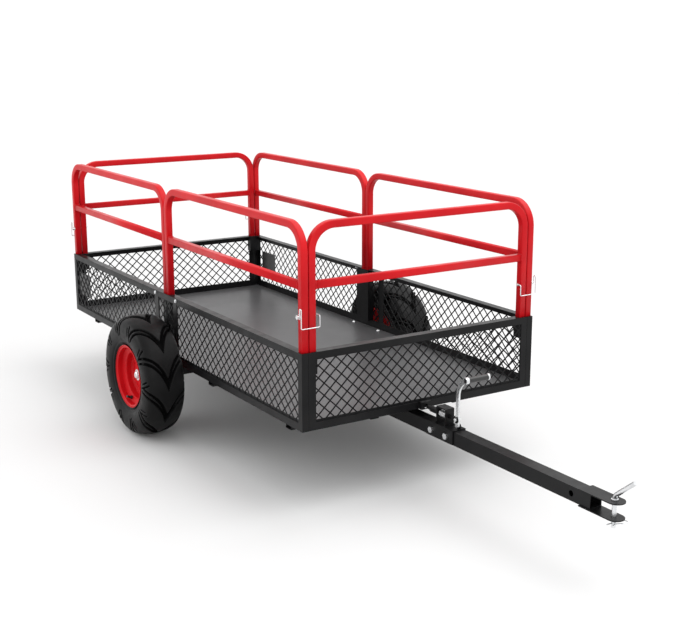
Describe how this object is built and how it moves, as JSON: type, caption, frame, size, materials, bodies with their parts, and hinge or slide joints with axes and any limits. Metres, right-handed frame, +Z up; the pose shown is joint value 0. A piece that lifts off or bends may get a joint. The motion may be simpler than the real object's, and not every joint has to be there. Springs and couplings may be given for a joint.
{
  "type": "garden cart",
  "caption": "Garden cart with a black mesh-sided tipping tray, red lift-out rail hoops, pneumatic tyres, spring latch lever and a clevis hitch drawbar.",
  "frame": {"origin": "centre of the bounding box on the ground plane", "axes": "+X from the tray towards the hitch, +Y to the cart's left, +Z up"},
  "size_m": [2.6431, 1.1454, 0.83],
  "materials": {
    "red_powder_coat": "gloss",
    "black_powder_coat": "satin",
    "black_mesh": "satin",
    "grey_floor": "satin",
    "tyre": "matte",
    "rubber": "matte",
    "black_plastic": "satin",
    "zinc": "satin"
  },
  "bodies": {
    "chassis": {"drawbar_tube": "black_powder_coat", "axle_beam": "black_powder_coat", "axle_spindles": "zinc", "axle_braces": "black_powder_coat", "pivot_lugs": "black_powder_coat", "rest_pad": "rubber", "latch_bracket": "black_powder_coat", "bracket_bolts": "zinc", "latch_spring": "zinc", "hitch_plates": "black_powder_coat"},
    "tray": {"floor_pan": "grey_floor", "under_frame": "black_powder_coat", "pivot_ears": "black_powder_coat", "pivot_bolts": "zinc", "latch_catch": "black_powder_coat", "corner_sockets": "black_powder_coat", "mid_sockets": "black_powder_coat", "panel_bolts": "zinc", "label_plates": "black_plastic", "right_front_panel_frame": "black_powder_coat", "right_rear_panel_frame": "black_powder_coat", "left_front_panel_frame": "black_powder_coat", "left_rear_panel_frame": "black_powder_coat", "front_panel_frame": "black_powder_coat", "rear_panel_frame": "black_powder_coat", "right_front_panel_mesh": "black_mesh", "right_rear_panel_mesh": "black_mesh", "left_front_panel_mesh": "black_mesh", "left_rear_panel_mesh": "black_mesh", "front_panel_mesh": "black_mesh", "rear_panel_mesh": "black_mesh"},
    "right_wheel": {"right_wheel_tyre": "tyre", "right_wheel_rim": "red_powder_coat", "right_wheel_hub": "red_powder_coat", "right_wheel_valve": "rubber"},
    "left_wheel": {"left_wheel_tyre": "tyre", "left_wheel_rim": "red_powder_coat", "left_wheel_hub": "red_powder_coat", "left_wheel_valve": "rubber"},
    "lever": {"lever_bar": "zinc", "lever_grip": "black_plastic", "lever_bolt": "zinc"},
    "latch_rod_body": {"latch_rod": "black_powder_coat", "latch_rod_eye": "black_powder_coat"},
    "hitch_pin_body": {"hitch_pin": "zinc"},
    "hairpin_body": {"hairpin": "zinc"},
    "front_rack": {"hoop_front": "red_powder_coat", "hoop_right_front": "red_powder_coat", "hoop_left_front": "red_powder_coat"},
    "rear_rack": {"hoop_rear": "red_powder_coat", "hoop_right_rear": "red_powder_coat", "hoop_left_rear": "red_powder_coat"},
    "lock_front_right": {"lock_front_right_pin": "zinc", "lock_front_right_bail": "zinc"},
    "lock_front_left": {"lock_front_left_pin": "zinc", "lock_front_left_bail": "zinc"},
    "lock_rear_right": {"lock_rear_right_pin": "zinc", "lock_rear_right_bail": "zinc"},
    "lock_rear_left": {"lock_rear_left_pin": "zinc", "lock_rear_left_bail": "zinc"}
  },
  "joints": [
    {"name": "tray_tilt", "type": "hinge", "parent": "chassis", "child": "tray", "pos_m": [-0.4835, 0, 0.212], "axis": [0, -1, 0], "range_deg": [0, 16]},
    {"name": "right_wheel_spin", "type": "hinge", "parent": "chassis", "child": "right_wheel", "pos_m": [-0.4335, -0.5027, 0.2028], "axis": [0, 1, 0], "continuous": true},
    {"name": "left_wheel_spin", "type": "hinge", "parent": "chassis", "child": "left_wheel", "pos_m": [-0.4335, 0.5027, 0.2028], "axis": [0, 1, 0], "continuous": true},
    {"name": "latch_lever", "type": "hinge", "parent": "chassis", "child": "lever", "pos_m": [0.6355, 0.001, 0.232], "axis": [0, 1, 0], "range_deg": [-30, 0], "stiffness_Nm_per_rad": 0.8},
    {"name": "latch_slide", "type": "slide", "parent": "chassis", "child": "latch_rod_body", "axis": [1, 0, 0], "range_m": [-0.0106, 0], "deforming": ["latch_spring"]},
    {"name": "hitch_pin_lift", "type": "slide", "parent": "chassis", "child": "hitch_pin_body", "axis": [0, 0, 1], "range_m": [0, 0.004]},
    {"name": "hairpin_pull", "type": "slide", "parent": "hitch_pin_body", "child": "hairpin_body", "axis": [0, 1, 0], "range_m": [0, 0.034]},
    {"name": "front_rack_lift", "type": "slide", "parent": "tray", "child": "front_rack", "axis": [0, 0, 1], "range_m": [0, 0.075]},
    {"name": "rear_rack_lift", "type": "slide", "parent": "tray", "child": "rear_rack", "axis": [0, 0, 1], "range_m": [0, 0.075]},
    {"name": "lock_front_right_swing", "type": "hinge", "parent": "front_rack", "child": "lock_front_right", "pos_m": [0.4571, -0.3885, 0.57], "axis": [0, -1, 0], "range_deg": [0, 120]},
    {"name": "lock_front_left_swing", "type": "hinge", "parent": "front_rack", "child": "lock_front_left", "pos_m": [0.4571, 0.3885, 0.57], "axis": [0, -1, 0], "range_deg": [0, 120]},
    {"name": "lock_rear_right_swing", "type": "hinge", "parent": "rear_rack", "child": "lock_rear_right", "pos_m": [-1.3001, -0.3885, 0.57], "axis": [0, 1, 0], "range_deg": [0, 120]},
    {"name": "lock_rear_left_swing", "type": "hinge", "parent": "rear_rack", "child": "lock_rear_left", "pos_m": [-1.3001, 0.3885, 0.57], "axis": [0, 1, 0], "range_deg": [0, 120]}
  ],
  "couplings": [
    {"joint": "latch_slide", "follows": "latch_lever", "m_per_rad": 0.02}
  ]
}
